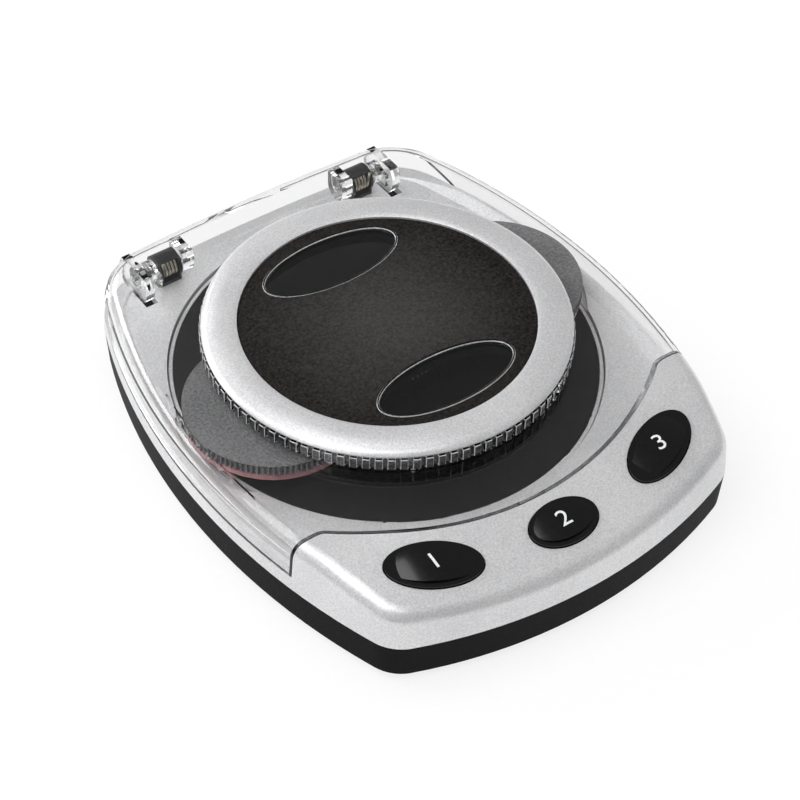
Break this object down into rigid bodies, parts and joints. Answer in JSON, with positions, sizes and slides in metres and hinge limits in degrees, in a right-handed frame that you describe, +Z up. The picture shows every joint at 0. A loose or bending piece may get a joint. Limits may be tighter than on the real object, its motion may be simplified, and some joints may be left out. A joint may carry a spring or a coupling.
{
  "type": "disc repair machine",
  "caption": "Tabletop disc cleaning and repair machine: clear sprung lid with a geared wheel head over a turntable, and push buttons on a sloped front panel.",
  "frame": {"origin": "centre of the footprint, on the surface the rubber feet stand on", "axes": "+X to the right seen from the buttons, +Y from the buttons to the lid hinges, +Z up"},
  "size_m": [0.1482, 0.177, 0.0386],
  "materials": {
    "silver_casing": "satin silver paint over plastic",
    "silver_plastic": "satin silver",
    "tray_plastic": "dark charcoal, fine texture",
    "black_plastic": "black",
    "cap_plastic": "fine grained black",
    "button_gloss": "high gloss black",
    "clear_plastic": "clear polished plastic",
    "wheel_plastic": "mid grey, fine texture",
    "gear_plastic": "natural white",
    "foot_rubber": "black rubber",
    "mat_rubber": "matt black",
    "pink_felt": "dusty pink felt",
    "shaft_steel": "ground steel",
    "screw_steel": "zinc plated",
    "spring_steel": "wire",
    "bracket_steel": "stamped sheet",
    "motor_can": "drawn can",
    "bush_brass": "turned",
    "board": "green solder mask"
  },
  "bodies": {
    "base": {"base_tray": "tray_plastic", "top_casing": "silver_casing", "rubber_feet": "foot_rubber", "casing_screws": "screw_steel", "spindle_bush": "bush_brass", "gear_axle": "shaft_steel", "drive_motor": "motor_can", "motor_bracket": "bracket_steel", "bracket_screws": "screw_steel", "circuit_board": "board", "tact_switches": "black_plastic", "dc_socket": "black_plastic", "hinge_pin_left": "shaft_steel", "hinge_pin_right": "shaft_steel", "spring_drum_left": "black_plastic", "spring_drum_right": "black_plastic", "hinge_spring_left": "spring_steel", "hinge_spring_right": "spring_steel"},
    "lid": {"lid_shell": "clear_plastic", "wheel_carrier": "black_plastic", "carrier_screws": "screw_steel", "toothed_collar": "clear_plastic", "head_ring": "silver_casing", "head_cap": "cap_plastic", "window_front": "clear_plastic", "window_rear": "clear_plastic", "wheel_axles": "shaft_steel"},
    "turntable": {"platter": "silver_plastic", "platter_mat": "mat_rubber", "disc_hub": "black_plastic", "spindle": "shaft_steel", "spindle_gear": "gear_plastic"},
    "reduction": {"reduction_gear": "gear_plastic"},
    "motor_rotor": {"motor_shaft": "shaft_steel", "motor_pinion": "bush_brass"},
    "sun": {"sun_gear": "wheel_plastic", "sun_gear_screw": "screw_steel"},
    "left_wheel": {"wheel_left": "wheel_plastic", "pad_left": "pink_felt"},
    "right_wheel": {"wheel_right": "wheel_plastic", "pad_right": "pink_felt"},
    "clean_key": {"clean_button": "button_gloss"},
    "open_key": {"open_button": "button_gloss"},
    "repair_key": {"repair_button": "button_gloss"},
    "latch": {"latch_slider": "gear_plastic"}
  },
  "joints": [
    {"name": "lid_hinge", "type": "hinge", "parent": "base", "child": "lid", "pos_m": [0, 0.0788, 0.0249], "axis": [-1, 0, 0], "range_deg": [0, 75]},
    {"name": "turntable_spin", "type": "hinge", "parent": "base", "child": "turntable", "pos_m": [0, 0.0115, 0.02], "axis": [0, 0, 1], "continuous": true},
    {"name": "reduction_spin", "type": "hinge", "parent": "base", "child": "reduction", "pos_m": [0.01232, -0.03386, 0.02], "axis": [0, 0, 1], "continuous": true},
    {"name": "motor_spin", "type": "hinge", "parent": "base", "child": "motor_rotor", "pos_m": [0.02098, -0.0657, 0.02], "axis": [0, 0, 1], "continuous": true},
    {"name": "sun_spin", "type": "hinge", "parent": "lid", "child": "sun", "pos_m": [0, 0.0115, 0.02], "axis": [0, 0, 1], "continuous": true},
    {"name": "left_wheel_spin", "type": "hinge", "parent": "lid", "child": "left_wheel", "pos_m": [-0.04143, 0.00911, 0.02], "axis": [0, 0, 1], "continuous": true},
    {"name": "right_wheel_spin", "type": "hinge", "parent": "lid", "child": "right_wheel", "pos_m": [0.04143, 0.01389, 0.02], "axis": [0, 0, 1], "continuous": true},
    {"name": "clean_press", "type": "slide", "parent": "base", "child": "clean_key", "axis": [0, 0, -1], "range_m": [0, 0.0008], "stiffness_N_per_m": 400},
    {"name": "open_press", "type": "slide", "parent": "base", "child": "open_key", "axis": [0, 0, -1], "range_m": [0, 0.0015], "stiffness_N_per_m": 400},
    {"name": "repair_press", "type": "slide", "parent": "base", "child": "repair_key", "axis": [0, 0, -1], "range_m": [0, 0.0008], "stiffness_N_per_m": 400},
    {"name": "latch_slide", "type": "slide", "parent": "base", "child": "latch", "axis": [0, -1, 0], "range_m": [0, 0.0016]}
  ],
  "couplings": [
    {"joint": "reduction_spin", "follows": "turntable_spin", "ratio": -5.7143},
    {"joint": "motor_spin", "follows": "turntable_spin", "ratio": 32},
    {"joint": "sun_spin", "follows": "turntable_spin", "ratio": 1},
    {"joint": "left_wheel_spin", "follows": "turntable_spin", "ratio": -0.59615},
    {"joint": "right_wheel_spin", "follows": "turntable_spin", "ratio": -0.59615},
    {"joint": "latch_slide", "follows": "open_press", "ratio": 1}
  ]
}
